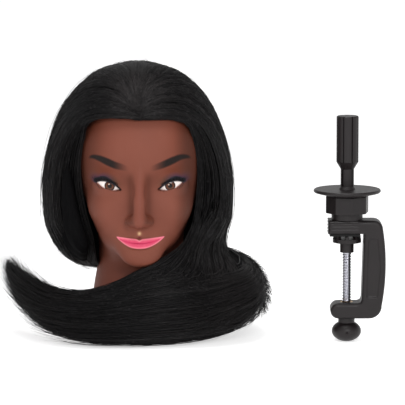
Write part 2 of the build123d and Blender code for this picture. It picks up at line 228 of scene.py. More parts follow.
def head_field(p):
    """Negative inside the moulded head."""
    ax = np.abs(p[:, 0])
    m = np.stack([ax, p[:, 1], p[:, 2]], 1)
    f = ellipsoid(p, (0, 7, 205), (74.5, 86, 83.5))
    # forehead, face, jaw and chin
    for centre, radii, blend in (
            ((0, -24, 215), (61, 61, 56), 16), ((0, -27, 168), (60, 57.5, 76), 16),
            ((0, -42, 128), (43, 43, 40), 12), ((1.5, -73, 99), (20, 14, 13), 14)):
        f = smooth_min(f, ellipsoid(p, centre, radii), blend)
    f = smooth_min(f, neck_field(p), 16)
    face = (p[:, 1] < -38) & (p[:, 2] > 78) & (p[:, 2] < 225) & (ax < 66)
    g, q, qx, qp = f[face], m[face], ax[face], p[face]
    # cheeks, the soft mouth mound and the hollow of the eyes
    g = smooth_min(g, ellipsoid(q, (33, -60, 150), (20, 19, 17)), 18)
    g = smooth_min(g, ellipsoid(q, (0, -68, 117), (27, 22, 19)), 12)
    g = smooth_max(g, -ellipsoid(q, (31, -99, 178), (23, 16, 14), 22), 14)
    # nose
    nose = ellipsoid(q, (0, -84, 153), (5.5, 15, 26))
    nose = smooth_min(nose, capsule(q, (0, -80, 196), (0, -96.5, 160), 5.0, 4.9), 4)
    nose = smooth_min(nose, capsule(q, (0, -96.5, 160), NOSE_TIP, 4.9, 6.8), 6)
    nose = smooth_min(nose, ellipsoid(q, (9.2, -94.0, 138.5), (5.4, 8.8, 5.2), -16), 9)
    nose = smooth_min(nose, capsule(q, (0, -101, 136.5), (0, -91, 131), 3.0, 2.6), 4)
    nostril = ellipsoid(q, (5.8, -100, 131.0), (2.6, 4.8, 3.4), 20)
    g = smooth_min(g, nose, 8)
    g = smooth_max(g, -nostril, 1.8)
    # philtrum
    g = smooth_max(g, -capsule(q, (0, -96.5, 129), (0, -95.8, 122), 1.7, 1.9), 2.2)
    # eye and its lids
    ball = ellipsoid(q, EYE, EYE_RADII, EYE_TURN)
    slit = eye_slit(qp)
    u, v = eye_plane(qp)
    crease = np.exp(-((v - LID_RISE - 4.2 + 0.014 * u * u) / 1.0) ** 2) * ease(17, 10, np.abs(u))
    lid = ball - 1.0 + 0.35 * crease
    lids = ball - 1.0 * ease(-0.4, 0.4, slit) + 0.35 * crease
    g = smooth_min(g, lid, 5.0)
    g = np.where(slit < 0.8, np.maximum(g, lids), g)
    # mouth
    g = smooth_min(g, lips_field(q, qx), 1.8)
    g = smooth_max(g, -ellipsoid(q, (0, -97.5, 103.5), (14, 7.0, 3.8)), 5)
    f[face] = g
    return f


def newton(field, points, rounds=6, step=0.4, reach=2.0):
    """Moves points onto the field's zero surface."""
    for _ in range(rounds):
        value, slope = field_slope(field, points, step)
        move = value[:, None] * slope / np.maximum((slope**2).sum(1), 0.05)[:, None]
        size = np.linalg.norm(move, axis=1, keepdims=True)
        points = points - move * np.minimum(1, reach / np.maximum(size, 1e-9))
    return points


def field_slope(field, points, step):
    value = field(points)
    slope = np.empty_like(points)
    for axis in range(3):
        shift = np.zeros(3)
        shift[axis] = step
        slope[:, axis] = (field(points + shift) - field(points - shift)) / (2 * step)
    return value, slope


def surface_net(field, low, high, step):
    """Quads near the field's zero surface, one vertex for each grid cell that it crosses."""
    axes = [np.arange(a, b + step, step) for a, b in zip(low, high)]
    values = np.empty([len(a) for a in axes], np.float32)
    yy, zz = np.meshgrid(axes[1], axes[2], indexing="ij")
    for i, x in enumerate(axes[0]):
        slab = np.stack([np.full(yy.size, x), yy.ravel(), zz.ravel()], 1)
        values[i] = field(slab).reshape(yy.shape)
    inside = values < 0
    nx, ny, nz = inside.shape
    count = np.zeros((nx - 1, ny - 1, nz - 1), np.uint8)
    for i, j, k in product((0, 1), repeat=3):
        count += inside[i:nx - 1 + i, j:ny - 1 + j, k:nz - 1 + k]
    mixed = (count > 0) & (count < 8)
    number = np.full(mixed.shape, -1, np.int64)
    number[mixed] = np.arange(mixed.sum())
    points = np.argwhere(mixed) * step + np.array([a[0] for a in axes]) + step / 2
    quads = []
    for axis in range(3):
        first = [slice(1, -1)] * 3
        first[axis] = slice(0, -1)
        second = list(first)
        second[axis] = slice(1, None)
        a, b = inside[tuple(first)], inside[tuple(second)]
        for flip, where in ((False, a & ~b), (True, ~a & b)):
            cell = np.argwhere(where)
            offset = np.array([1, 1, 1])
            offset[axis] = 0
            cell = cell + offset
            others = [(axis + 1) % 3, (axis + 2) % 3]
            ring = []
            for du, dv in ((0, 0), (-1, 0), (-1, -1), (0, -1)):
                c = cell.copy()
                c[:, others[0]] += du
                c[:, others[1]] += dv
                ring.append(number[c[:, 0], c[:, 1], c[:, 2]])
            quad = np.stack(ring, 1)
            quads.append(quad[:, ::-1] if flip else quad)
    return points, np.concatenate(quads)


def relax(points, faces, field, rounds, amount=0.5):
    """Evens the spacing of a surface's points, and puts them back on the field."""
    for _ in range(rounds):
        total = np.zeros_like(points)
        weight = np.zeros(len(points))
        corners = faces.shape[1]
        for k in range(corners):
            a, b = faces[:, k], faces[:, (k + 1) % corners]
            np.add.at(total, a, points[b])
            np.add.at(total, b, points[a])
            np.add.at(weight, a, 1)
            np.add.at(weight, b, 1)
        points = points + (total / np.maximum(weight, 1)[:, None] - points) * amount
        points = newton(field, points, 1)
    return points


def refine(obj, chosen):
    """Splits the faces whose every corner is chosen."""
    bm = bmesh.new()
    bm.from_mesh(obj.data)
    bm.verts.ensure_lookup_table()
    faces = [f for f in bm.faces if all(chosen[v.index] for v in f.verts)]
    edges = {e for f in faces for e in f.edges}
    bmesh.ops.subdivide_edges(bm, edges=list(edges), cuts=1, use_grid_fill=True)
    bm.to_mesh(obj.data)
    bm.free()


def sculpt_head():
    points, quads = surface_net(head_field, (-80, -118, -3), (80, 100, 294), HEAD_GRID)
    points = newton(head_field, points, 5)
    points = relax(points, quads, head_field, 3)
    head = add_mesh("moulded_head", points, quads)
    # finer over the face, and finer again over eyes, nose and mouth
    p = positions(head)
    refine(head, (p[:, 1] < -46) & (p[:, 2] > 82) & (p[:, 2] < 252))
    for margin in (5.0, 2.5):
        p = newton(head_field, positions(head), 3)
        set_positions(head, p)
        refine(head, detail_zone(p, margin))
    set_positions(head, newton(head_field, positions(head), 4, step=0.15))
    head.data.polygons.foreach_set("use_smooth", np.ones(len(head.data.polygons), bool))
    return head


def detail_zone(p, margin):
    """Whether each point is near an eye, the mouth or the nose, or, for a wide margin, a brow."""
    u, v = eye_plane(p)
    x, y, z = p.T
    ax = np.abs(x)
    eyes = (np.abs(u) < EYE_HALF_LENGTH + margin) & (np.abs(v) < LID_RISE + margin + 2)
    mouth = (ax < MOUTH_HALF + margin) & (np.abs(z - MOUTH_Z) < 11 + margin)
    nose = (ax < 19 + margin) & (np.abs(z - 138) < 12 + margin)
    brows = (np.abs(z - 200) < 12) & (margin > 3)
    return (y < -55) & (eyes | mouth | nose | brows)


# ---- materials
class Graph:
    """The shader nodes of a material or a world, made by short calls."""

    def __init__(self, tree):
        self.nodes, self.links = tree.nodes, tree.links
        self.shader = self.nodes.get("Principled BSDF")

    def into(self, socket, value):
        """Sets one of the shader's inputs, from another node or to a plain value."""
        self.feed(self.shader.inputs[socket], value)

    def feed(self, socket, value):
        if isinstance(value, (int, float, tuple)):
            socket.default_value = value
        else:
            self.links.new(value, socket)

    def add(self, kind, inputs):
        node = self.nodes.new(kind)
        for name, value in inputs.items():
            self.feed(node.inputs[name], value)
        return node

    def math(self, operation, *values, clamp=False):
        node = self.add("ShaderNodeMath", dict(enumerate(values)))
        node.operation = operation
        node.use_clamp = clamp
        return node.outputs[0]

    def times(self, a, b):
        return self.math("MULTIPLY", a, b)

    def ramp(self, value, low, high):
        """0 at low to 1 at high, smoothly."""
        node = self.add("ShaderNodeMapRange", {
            "Value": value, "From Min": low, "From Max": high, "To Min": 0.0, "To Max": 1.0})
        node.interpolation_type = "SMOOTHSTEP"
        return node.outputs[0]

    def attribute(self, name):
        node = self.nodes.new("ShaderNodeAttribute")
        node.attribute_name = name
        return node.outputs["Fac"]

    def mix(self, factor, a, b):
        node = self.nodes.new("ShaderNodeMix")
        node.data_type = "RGBA"
        for number, value in ((0, factor), (6, a), (7, b)):
            self.feed(node.inputs[number], value)
        return node.outputs[2]

    def object_place(self):
        return self.nodes.new("ShaderNodeTexCoord").outputs["Object"]

    def noise(self, scale, detail=3.0, roughness=0.5, stretch=(1, 1, 1)):
        """Noise in object coordinates; scale is per metre."""
        place = self.add("ShaderNodeMapping", {"Scale": stretch, "Vector": self.object_place()}).outputs[0]
        return self.add("ShaderNodeTexNoise", {
            "Scale": scale, "Detail": detail, "Roughness": roughness, "Vector": place}).outputs["Fac"]

    def near(self, centre_mm, inner, outer):
        """1 within the inner radius of a place and 0 beyond the outer one, in millimetres."""
        gap = self.nodes.new("ShaderNodeVectorMath")
        gap.operation = "DISTANCE"
        gap.inputs[1].default_value = [v * MM for v in centre_mm]
        self.feed(gap.inputs[0], self.object_place())
        return self.ramp(gap.outputs["Value"], outer * MM, inner * MM)

    def bump(self, height, strength, distance):
        node = self.add("ShaderNodeBump", {"Strength": strength, "Distance": distance, "Height": height})
        self.into("Normal", node.outputs[0])


def new_material(name):
    material = bpy.data.materials.new(name)
    material.use_nodes = True
    return material, Graph(material.node_tree)


def rgb(r, g, b):
    """Linear colour from 0-255 display values."""
    def channel(c):
        c /= 255
        return c / 12.92 if c <= 0.04045 else ((c + 0.055) / 1.055) ** 2.4
    return channel(r), channel(g), channel(b), 1.0


def blob(x, z, width, height):
    """A soft spot with its middle where x and z are 0."""
    return np.exp(-((x / width) ** 2 + (z / height) ** 2))


def paint_head(head):
    """Where the face's paint lies, as distances and amounts at each point."""
    def put(name, values):
        paint(head, name, values)

    p = positions(head)
    x, y, z = p.T
    ax, front = np.abs(x), y < -40
    u, v = eye_plane(p)
    far = np.where(front, 0.0, 40.0)
    slit = eye_slit(p)
    put("slit", slit + far)
    # the two irises sit a little differently in their slits
    iris_u = np.where(x > 0, -0.4, -1.3)
    put("iris", np.hypot(u - iris_u, (v - 0.2) * 1.06) + far)
    put("glint", np.hypot(u - iris_u + np.sign(x) * 1.2, v - 1.9) + far)
    # liner over the upper lid, thickening toward the outer corner and running past it
    t = u / EYE_HALF_LENGTH
    lid = lid_edge(np.clip(t, -1, 1))
    thick = 0.7 + 3.6 * ease(-0.8, 0.7, t) * ease(1.5, 0.9, t)
    liner = np.maximum(v - lid - thick, lid - 1.2 - v)
    liner = np.maximum(liner, np.abs(u - 1.6) - EYE_HALF_LENGTH - 1.6 + 0.25 * np.abs(v - lid))
    put("liner", liner + far)
    shadow = np.exp(-((u - 4) / 15) ** 4) * ease(lid + 10.5, lid + 1.5, v) * ease(lid - 3, lid, v)
    put("shadow", np.where(front, shadow, 0))
    lashes = ease(-6.0, -3.8, v + 3.0 * t * t) * ease(1.6, 0.3, v + 3.9 - 3.9 * t * t)
    lashes = lashes * ease(3, 6, u) * ease(16.5, 13, u)
    lashes = lashes * ease(0.5, 1.2, slit) * ease(3.4, 2.6, slit)
    put("lower_lash", np.where(front, lashes, 0))
    put("along_eye", u)
    # brows: faded inner end, arched, with a thin tail
    middle, half = brow_at(ax).T
    middle = middle - 1.0 * (x < 0) * ease(16, 28, ax) * ease(52, 44, ax)
    brow = ease(half + 1.2, half - 1.2, np.abs(z - middle))
    brow = brow * ease(11, 30, ax) ** 0.7 * ease(57, 52, ax)
    put("brow", np.where(front, brow, 0))
    # lips
    upper_edge = 120.4 - 0.5 * np.cos(ax / 9) - 1.6 * np.exp(-(ax / 2.3) ** 2)
    reach = np.where(x < 0, 24.6, 26.4)
    lower_edge = 109.3 + 10.6 * np.clip(ax / reach, 0, 1.2) ** 2.2
    lips = np.maximum(np.maximum(z - upper_edge, lower_edge - z), (ax - reach - 0.2) * 0.8)
    put("lips", lips + np.where(y < -55, 0, 40))
    between = MOUTH_Z + 0.1 + 4.4 * (ax / MOUTH_HALF) ** 2
    put("lip_line", np.abs(z - between) + 6 * ease(21, 25, ax))
    # painted shade beside the nose, round its wings, under its tip and by the inner corners of the eyes; an even
    # tone along its ridge; a warmer, darker brown round the brows and toward the upper sides of the forehead
    side = np.exp(-((ax - 9.6) / 4.2) ** 2) * ease(131, 142, z) * ease(194, 182, z)
    wing, socket = blob(ax - 13.5, z - 138, 5.5, 6), blob(ax - 17, z - 182, 6.5, 10)
    under_nose = blob(ax, z - 131, 10, 2.8)
    nose_shade = np.clip(0.85 * side + 0.5 * wing + 0.5 * socket + 0.4 * under_nose, 0, 1)
    put("nose_shade", np.where(y < -60, nose_shade, 0))
    ridge = np.exp(-(ax / 3.8) ** 2) * ease(133, 140, z) * ease(193, 183, z)
    put("ridge", np.where(y < -70, ridge, 0))
    warm = 0.8 * blob(ax - 36, z - 192, 16, 8) + 0.85 * ease(22, 58, ax) * ease(178, 205, z)
    put("warm", np.where(front, np.clip(warm, 0, 1), 0))
    # darker toward the hair, more so on the right, and under the chin
    rim = ease(-58, -34, y) * ease(106, 130, z)
    flank = ease(34, np.where(x > 0, 53, 60), ax) * ease(96, 130, z) * np.where(x > 0, 1.3, 1.0)
    under = ease(-80, -62, y) * ease(98, 90, z) * ease(66, 82, z)
    shade = rim + 0.75 * flank + 0.15 * under + 0.08 * ease(86, 74, z)
    put("shade", np.clip(shade, 0, 1))
    # a painted highlight on the philtrum, above the middle of the lip
    put("spot", np.where(y < -70, blob(x, z - 125.6, 1.7, 2.0), 0))
    put("notch", np.where(y < -70, blob(x, z - 121.2, 2.0, 1.3), 0))


def skin_material():
    material, g = new_material("painted_vinyl")
    skin = g.mix(g.noise(26, 2.0), rgb(108, 58, 44), rgb(120, 67, 53))
    # shadow above the lids, from green-brown through violet to blue at the outer end
    lid_tint = g.mix(g.ramp(g.attribute("along_eye"), -9.0, 13.0), rgb(56, 38, 18), rgb(30, 38, 72))
    # painted shade by the nose, toward the hair and under the chin, and a painted highlight on the philtrum, go on
    # with the face's paint
    for name, amount, colour in (
            ("warm", 0.85, rgb(94, 40, 20)), ("nose_shade", 0.9, rgb(84, 40, 26)), ("ridge", 0.6, rgb(112, 60, 48)),
            ("shade", 0.8, rgb(66, 33, 22)), ("spot", 1.0, rgb(196, 158, 120)), ("notch", 1.0, rgb(92, 24, 30)),
            ("shadow", 0.85, lid_tint), ("brow", 1.0, rgb(22, 10, 6))):
        skin = g.mix(g.times(g.attribute(name), amount), skin, colour)
    # fine painted lashes under the outer corner
    turned = g.add("ShaderNodeMapping", {"Rotation": (0, math.radians(35), 0), "Vector": g.object_place()})
    stripes = g.add("ShaderNodeTexWave", {"Scale": 160, "Distortion": 0.6, "Vector": turned.outputs[0]})
    lash = g.times(g.ramp(stripes.outputs["Fac"], 0.45, 0.75), g.attribute("lower_lash"))
    skin = g.mix(lash, skin, rgb(34, 20, 16))
    # lips
    lips = g.attribute("lips")
    pink = g.mix(g.noise(420, 2.0, stretch=(1.0, 1.0, 0.25)), rgb(194, 54, 86), rgb(208, 78, 108))
    pink = g.mix(g.times(g.ramp(lips, -2.6, -0.6), 0.8), pink, rgb(222, 122, 136))
    pink = g.mix(g.times(g.ramp(g.attribute("lip_line"), 0.9, 0.1), 0.75), pink, rgb(184, 38, 80))
    on_lips = g.ramp(lips, 0.25, -0.25)
    skin = g.mix(on_lips, skin, pink)
    # eyeball
    iris, slit = g.attribute("iris"), g.attribute("slit")
    # the white darkens toward the lids' edges: painted shade
    white = g.mix(g.ramp(slit, -1.4, 0.2), rgb(224, 214, 210), rgb(166, 138, 132))
    brown = g.mix(g.noise(900, 2.0), rgb(54, 24, 12), rgb(102, 60, 38))
    brown = g.mix(g.ramp(iris, 3.9, 5.2), brown, rgb(22, 11, 9))
    brown = g.mix(g.ramp(iris, 2.9, 2.1), brown, rgb(14, 8, 7))
    eye = g.mix(g.ramp(iris, 5.9, 5.5), white, brown)
    eye = g.mix(g.ramp(g.attribute("glint"), 1.1, 0.6), eye, rgb(176, 158, 146))
    in_eye = g.ramp(slit, 0.15, -0.15)
    skin = g.mix(in_eye, skin, eye)
    skin = g.mix(g.times(g.ramp(g.attribute("liner"), 0.9, -0.5), 0.96), skin, rgb(16, 16, 24))
    g.into("Base Color", skin)
    # eyes and lips are glossier than the vinyl
    rough = g.math("MULTIPLY_ADD", in_eye, -0.42, 0.56)
    rough = g.math("MULTIPLY_ADD", on_lips, -0.22, rough)
    g.into("Roughness", g.math("MULTIPLY_ADD", g.noise(180), 0.08, rough))
    g.bump(g.times(g.noise(1500, 4.0, 0.6), g.math("MULTIPLY_ADD", in_eye, -1.0, 1.0)), 0.25, 0.0002)
    g.into("Specular IOR Level", 0.2)
    return material


# ---- hair
# the hair's outline: height, centre in Y, half width, half depth
HAIR_X, HAIR_Y = -3.5, 10.0
HAIR = np.array([
    (70, 30, 54, 42), (82, 22, 79, 68), (98, 15, 94, 88), (120, 11, 102, 101), (147, 10, 105, 105),
    (180, 9, 104.5, 106),
    (213, 8, 98, 104), (235, 8, 91, 99), (257, 10, 80, 90), (279, 10, 61, 72), (294, 11, 38, 44),
    (302, 12, 10, 11),
])
hair_at = curve_table(HAIR[:, 0], HAIR[:, 1:])
HAIR_TOP = 302
LOWEST_HAIR = 0.8
# the opening round the face, seen from the front
OPENING = np.array([
    (-54, 247), (-28, 251), (0, 250), (28, 251), (52, 247), (61, 219), (62, 185), (58, 147), (47, 116),
    (44, 60),
    (-50, 60), (-47, 113), (-58, 147), (-66, 191), (-64, 219),
])
# the length that is swept round the neck: X, Y, Z, half depth, half height
SWEEP = np.array([
    (-34, 78, 95, 13, 15), (12, 84, 78, 18, 24), (58, 74, 66, 26, 36), (84, 48, 56, 36, 41),
    (97, 8, 52, 43, 41),
    (96, -36, 49, 36, 39), (64, -64, 44, 26, 40), (14, -79, 43, 21, 41), (-20, -82, 37, 20, 33.5),
    (-55, -78, 31, 18, 27.5),
    (-92, -64, 34, 16, 25), (-121, -32, 45, 12, 21), (-138, 0, 60, 7, 14), (-147, 20, 74, 3, 7),
], float)
sweep_at = curve_table(np.arange(len(SWEEP)), SWEEP)


def envelope_ratio(p):
    y, a, b = hair_at(p[:, 2]).T
    return np.sqrt(((p[:, 0] - HAIR_X) / a) ** 2 + ((p[:, 1] - y) / b) ** 2), np.minimum(a, b)


def polygon_distance(x, z, corners):
    """Signed distance to a closed outline; negative inside."""
    nearest = np.full(len(x), 1e9)
    inside = np.zeros(len(x), bool)
    for (x0, z0), (x1, z1) in zip(corners, np.roll(corners, -1, axis=0)):
        dx, dz = x1 - x0, z1 - z0
        t = np.clip(((x - x0) * dx + (z - z0) * dz) / (dx * dx + dz * dz), 0, 1)
        nearest = np.minimum(nearest, np.hypot(x - x0 - t * dx, z - z0 - t * dz))
        crosses = (z0 > z) != (z1 > z)
        inside ^= crosses & (x < (x1 - x0) * (z - z0) / (z1 - z0 + 1e-12) + x0)
    return np.where(inside, -nearest, nearest)


def cap_field(p):
    """The dense hair under the visible strands."""
    x, y, z = p.T
    ratio, size = envelope_ratio(p)
    body = (ratio - 1) * size + 7.5
    angle = np.arctan2(x - HAIR_X, y - HAIR_Y)
    side = ease(15, 60, np.hypot(x - HAIR_X, y - HAIR_Y))
    coarse = 0.9 * np.sin(angle * 34 + 3 * np.sin(z / 31))
    body = body + side * (coarse + 0.7 * np.sin(angle * 57 + z / 40))
    body = np.maximum(body, np.maximum(z - 295, 74 - z))
    prism = np.maximum(polygon_distance(x, z, OPENING), y + 14)
    filler = ellipsoid(p, (74, 8, 90), (12, 48, 34))
    return smooth_max(smooth_min(body, filler, 12), -prism + 1.5 + 8 * ease(244, 222, z), 14)


def make_cap():
    points, quads = surface_net(cap_field, (-112, -100, 68), (104, 118, 300), 4.2)
    points = newton(cap_field, points, 3)
    points = relax(points, quads, cap_field, 1, 0.3)
    return add_mesh("hair_base", points, quads)


def sweep_points(s, across, up):
    """A place in the swept length: along it, across it (1 is away from the neck) and up in it."""
    row = sweep_at(s)
    s = np.clip(s, 0.05, len(SWEEP) - 1.05)
    ahead = sweep_at(s + 0.05)[:, :2] - sweep_at(s - 0.05)[:, :2]
    ahead /= np.linalg.norm(ahead, axis=1, keepdims=True)
    out = np.stack([-ahead[:, 1], ahead[:, 0]], 1)
    point = row[:, :3].copy()
    point[:, :2] += out * (row[:, 3] * across)[:, None]
    point[:, 2] += row[:, 4] * up
    return point


def make_sweep_base():
    s = np.linspace(0, len(SWEEP) - 2.6, 90)
    around = np.linspace(0, 2 * np.pi, 72, endpoint=False)
    ss, tt = np.meshgrid(s, around, indexing="ij")
    relief = 0.76 + 0.022 * np.sin(tt * 17 + 2 * np.sin(ss)) + 0.016 * np.sin(tt * 31 - ss)
    taper = ease(-0.4, 0.8, ss) * ease(len(SWEEP) - 2.3, len(SWEEP) - 4.5, ss) ** 0.6
    relief = relief * (0.35 + 0.65 * taper)
    points = sweep_points(ss.ravel(), (np.cos(tt) * relief).ravel(), (np.sin(tt) * relief).ravel())
    points[:, 2] = np.maximum(points[:, 2], 1.0)
    return closed_tube("sweep_base", points, *ss.shape, back_first=False)


def spline(control, t):
    """Points on a uniform cubic B-spline through the ends; control is (n, k, 3) and t (n, m) runs 0 to 1."""
    n, k, _ = control.shape
    first = 2 * control[:, :1] - control[:, 1:2]
    last = 2 * control[:, -1:] - control[:, -2:-1]
    padded = np.concatenate([first, control, last], 1)
    x = np.clip(t, 0, 1) * (k - 1)
    i = np.clip(x.astype(int), 0, k - 2)
    u = (x - i)[..., None]
    rows = np.arange(n)[:, None]
    p0, p1, p2, p3 = (padded[rows, i + o] for o in range(4))
    middle = (3 * u**3 - 6 * u**2 + 4) * p1
    return ((1 - u)**3 * p0 + middle + (-3 * u**3 + 3 * u**2 + 3 * u + 1) * p2 + u**3 * p3) / 6


def rails(u, table):
    """Control points for strands at u, between the listed rails."""
    table = np.asarray(table, float)
    count = len(table)
    at = curve_table(np.linspace(0, 1, count), table.reshape(count, -1))
    return at(u).reshape(len(u), -1, 3)


def onto_envelope(points, inset, u, outward):
    """Lays the upper part of each strand on the hair's outline; outward False only pulls strands in."""
    flat = points.reshape(-1, 3)
    depth = np.repeat(inset, points.shape[1])
    centre = np.stack([np.full(len(flat), HAIR_X), np.full(len(flat), HAIR_Y), np.minimum(flat[:, 2], 190)], 1)
    arm = flat - centre
    low, high = np.full(len(flat), 0.3), np.full(len(flat), 1.8)
    for _ in range(14):
        middle = (low + high) / 2
        ratio, size = envelope_ratio(centre + arm * middle[:, None])
        outside = ((ratio - 1) * size + depth > 0) | (centre[:, 2] + arm[:, 2] * middle > HAIR_TOP - depth)
        high = np.where(outside, middle, high)
        low = np.where(outside, low, middle)
    z = flat[:, 2]
    edge = np.repeat(ease(0.03, 0.2, u), points.shape[1])
    amount = np.maximum(edge, ease(228, 244, z)) * ease(100, 135, z) * outward
    amount = np.where((high < 1) & (z > 84), 1.0, amount)
    scale = 1 + (high - 1) * amount
    return (centre + arm * scale[:, None]).reshape(points.shape)


def edge_depth(control, u, sign):
    """Beside the face the strands hang in rows, one behind the other, and cross a little at the hairline."""
    control[:, :2, 0] += RNG.normal(0, 1, (len(u), 1)) * np.array([4.0, 1.5])
    row = RNG.uniform(0, 1, len(u)) ** 1.2 * ease(0.24, 0.05, u)
    z = control[:, :, 2]
    fall = ease(250, 215, z) * ease(88, 118, z)
    control[:, :, 1] += row[:, None] * 36 * fall
    control[:, :, 0] += sign * row[:, None] * 7 * fall
    return control


def strand_mesh(name, paths, width, tone):
    """Thin three-sided tubes along paths (n, m, 3)."""
    n, m, _ = paths.shape
    ahead = np.gradient(paths, axis=1)
    ahead /= np.linalg.norm(ahead, axis=2, keepdims=True) + 1e-9
    side = np.cross(ahead, np.array([0.31, 0.17, 0.93]))
    side /= np.linalg.norm(side, axis=2, keepdims=True) + 1e-9
    other = np.cross(ahead, side)
    t = np.linspace(0, 1, m)
    shape = np.clip(0.55 + 2.5 * t, 0, 1) * np.clip(0.12 + (1 - t) * 4.0, 0, 1)
    radius = 0.5 * width[:, None] * shape[None, :]
    turn = RNG.uniform(0, 2 * np.pi, n)[:, None]
    corners = []
    for k in range(3):
        a = turn + 2 * np.pi * k / 3
        corners.append(paths + (np.cos(a) * radius)[..., None] * side + (np.sin(a) * radius)[..., None] * other)
    points = np.stack(corners, 2).reshape(-1, 3)
    base = (np.arange(n) * m * 3)[:, None]
    i = np.arange(m - 1)[None, :, None] * 3
    k = np.arange(3)[None, None, :]
    k2 = (k + 1) % 3
    ring = base[:, :, None] + i
    quads = np.stack([ring + k, ring + k2, ring + 3 + k2, ring + 3 + k], -1)
    start = base + np.array([2, 1, 0])
    end = base + (m - 1) * 3 + np.array([0, 1, 2])
    flat = np.concatenate([quads.ravel(), start.ravel(), end.ravel()])
    counts = np.concatenate([np.full(quads.size // 4, 4), np.full(2 * n, 3)])
    obj = add_mesh(name, points, flat, counts=counts)
    paint(obj, "tone", np.repeat(tone, m * 3))
    paint(obj, "along", np.tile(np.repeat(t, 3), n))
    return obj


def wander(paths, amount, waves=6):
    """Lets each strand stray smoothly from its path, more toward the tip."""
    n, m, _ = paths.shape
    t = np.linspace(0, 1, m)[None, :]
    grow = (0.25 + 0.75 * t) * amount[:, None]
    for axis in range(3):
        for wave in range(1, waves + 1):
            phase = RNG.uniform(0, 2 * np.pi, (n, 1))
            paths[:, :, axis] += grow / wave**0.7 * RNG.normal(0, 0.4, (n, 1)) * np.sin(wave * 5.0 * t + phase)
    return paths


def locks(count, number, spread):
    """u for each strand, gathered in locks, and each lock's own random numbers."""
    centre = RNG.uniform(0, 1, number)
    own = RNG.integers(0, number, count)
    return np.clip(centre[own] + RNG.normal(0, spread, count), 0, 1), own


# strands combed back from the front of the hairline; each row is a rail, from the face's edge to the middle
LEFT_RAILS = [
    [(0, -86, 250), (-28, -84, 252), (-55, -66, 247), (-61.5, -54, 222), (-66, -48, 188), (-60, -50, 147),
     (-49, -48, 112), (-50, -28, 86), (-44, 12, 70), (-22, 62, 68)],
    [(-2, -84, 255), (-34, -72, 266), (-68, -48, 252), (-89, -36, 210), (-98, -30, 160), (-95, -28, 120),
     (-84, -15, 90), (-66, 15, 74), (-45, 45, 68), (-25, 70, 66)],
    [(-3, -82, 258), (-30, -60, 283), (-70, -25, 266), (-97, -5, 215), (-108, 0, 165), (-105, 3, 122),
     (-91, 14, 90), (-70, 38, 75), (-45, 62, 70), (-20, 78, 66)],
    [(-3, -81, 260), (-22, -45, 294), (-60, 10, 280), (-92, 35, 222), (-104, 40, 160), (-99, 42, 118),
     (-84, 45, 90), (-60, 60, 78), (-35, 76, 72), (-10, 88, 68)],
    [(-3, -80, 262), (-8, -25, 301), (-24, 45, 293), (-52, 88, 235), (-62, 102, 165), (-58, 98, 118),
     (-45, 92, 94), (-30, 90, 84), (-10, 92, 76), (10, 93, 70)],
]
RIGHT_RAILS = [
    [(0, -86, 250), (26, -84, 252), (50, -66, 247), (60, -52, 222), (63, -48, 188), (61, -50, 150),
     (53, -64, 112)],
    [(-2, -84, 255), (28, -72, 266), (61, -48, 252), (82, -36, 210), (91, -32, 160), (87, -42, 124),
     (72, -62, 102)],
    [(-3, -82, 258), (24, -60, 283), (64, -25, 266), (90, -5, 215), (101, 0, 165), (99, 0, 124), (97, -6, 95)],
    [(-3, -81, 260), (16, -45, 294), (54, 10, 280), (86, 35, 222), (98, 38, 160), (98, 38, 120), (100, 30, 88)],
    [(-3, -80, 262), (2, -25, 301), (18, 45, 293), (48, 88, 235), (60, 102, 165), (70, 94, 118), (84, 76, 86)],
]
BACK_RAILS = [
    [(-3, -80, 262), (-8, -25, 301), (-24, 45, 293), (-52, 88, 235), (-60, 103, 165), (-46, 100, 120),
     (-26, 94, 98)],
    [(-3, -80, 262), (-6, -22, 302), (-14, 52, 293), (-28, 98, 238), (-26, 112, 165), (-8, 108, 118),
     (14, 100, 92)],
    [(-3, -80, 262), (-3, -20, 302), (-3, 55, 293), (0, 102, 238), (10, 114, 165), (28, 106, 116),
     (50, 92, 86)],
    [(-3, -80, 262), (0, -22, 302), (8, 52, 293), (26, 98, 238), (38, 108, 165), (54, 100, 118), (74, 82, 86)],
    [(-3, -80, 262), (3, -25, 301), (18, 45, 293), (48, 88, 235), (60, 102, 165), (72, 92, 118), (90, 66, 86)],
]
HAIR_SAMPLES = 30
LEFT_STRANDS, RIGHT_STRANDS, BACK_STRANDS = 1500, 2000, 1500
STRAYS, BEND_FRAYS, TAIL_FRAYS = 900, 900, 420
LONGEST_PIECE = 900
LOCKS = 170


def roots(count, u, reach):
    """Some strands are rooted at the hairline, the others all over the scalp."""
    spread = RNG.uniform(0, 1, count)
    return np.where(spread < 0.45, 0.02 * spread, reach * (spread - 0.45) / 0.55) * ease(0.0, 0.3, u)


def left_hair(count):
    u, own = locks(count, LOCKS, 0.011)
    depth = RNG.uniform(0, 1, count) ** 1.5 * 4.5 + 0.4
    control = onto_envelope(edge_depth(rails(u, LEFT_RAILS), u, -1), depth, u, 0)
    end = RNG.uniform(0.86, 1.0, count) - 0.05 * RNG.uniform(0, 1, LOCKS)[own]
    start = roots(count, u, 0.25)
    t = start[:, None] + (end - start)[:, None] * np.linspace(0, 1, HAIR_SAMPLES)[None, :]
    paths = wander(spline(control, t), np.full(count, 1.4))
    return onto_envelope(paths, depth, u, 1), u


